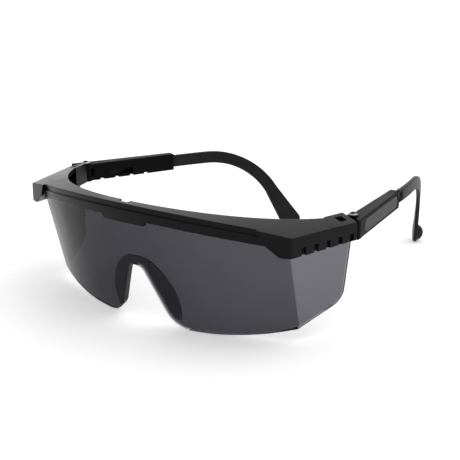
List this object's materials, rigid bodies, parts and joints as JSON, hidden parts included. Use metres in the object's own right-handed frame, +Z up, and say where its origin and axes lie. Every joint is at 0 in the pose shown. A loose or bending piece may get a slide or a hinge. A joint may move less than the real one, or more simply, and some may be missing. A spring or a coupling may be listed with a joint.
{
  "type": "safety glasses",
  "caption": "Wrap-around safety glasses: black brow frame, smoke one-piece lens with side shields and nose flange, folding temples with inlay panels and sliding ear tips.",
  "frame": {"origin": "middle of the footprint at table level, with the glasses open and resting on the lens's lower edge and the ear hooks", "axes": "+X to the wearer's left, +Y from the lens back to the ears, +Z up"},
  "size_m": [0.1578, 0.1827, 0.0558],
  "materials": {
    "frame_black": "satin injection-moulded nylon",
    "lens_smoke": "polished smoke polycarbonate",
    "hinge_black": "matt moulded nylon",
    "pin_steel": "domed and burnished",
    "sleeve_black": "satin injection-moulded nylon",
    "inlay_grey": "fine matt soft-touch panel",
    "tip_black": "matt flexible nylon"
  },
  "bodies": {
    "front": {"brow_frame": "frame_black", "lens": "lens_smoke", "hinge_block_left": "hinge_black", "hinge_block_right": "hinge_black", "hinge_pin_left": "pin_steel", "hinge_pin_right": "pin_steel"},
    "left_temple": {"temple_sleeve_left": "sleeve_black", "temple_inlay_left": "inlay_grey"},
    "right_temple": {"temple_sleeve_right": "sleeve_black", "temple_inlay_right": "inlay_grey"},
    "left_tip": {"temple_tip_left": "tip_black"},
    "right_tip": {"temple_tip_right": "tip_black"}
  },
  "joints": [
    {"name": "left_fold", "type": "hinge", "parent": "front", "child": "left_temple", "pos_m": [0.07313, -0.03334, 0.0446], "axis": [0, 0, 1], "range_deg": [0, 80]},
    {"name": "right_fold", "type": "hinge", "parent": "front", "child": "right_temple", "pos_m": [-0.07313, -0.03334, 0.0446], "axis": [0, 0, -1], "range_deg": [-15, 47]},
    {"name": "left_tip_slide", "type": "slide", "parent": "left_temple", "child": "left_tip", "axis": [-0.1218, 0.9924, -0.0192], "range_m": [-0.008, 0.008]},
    {"name": "right_tip_slide", "type": "slide", "parent": "right_temple", "child": "right_tip", "axis": [0.3745, 0.927, -0.0192], "range_m": [0, 0.016]}
  ]
}
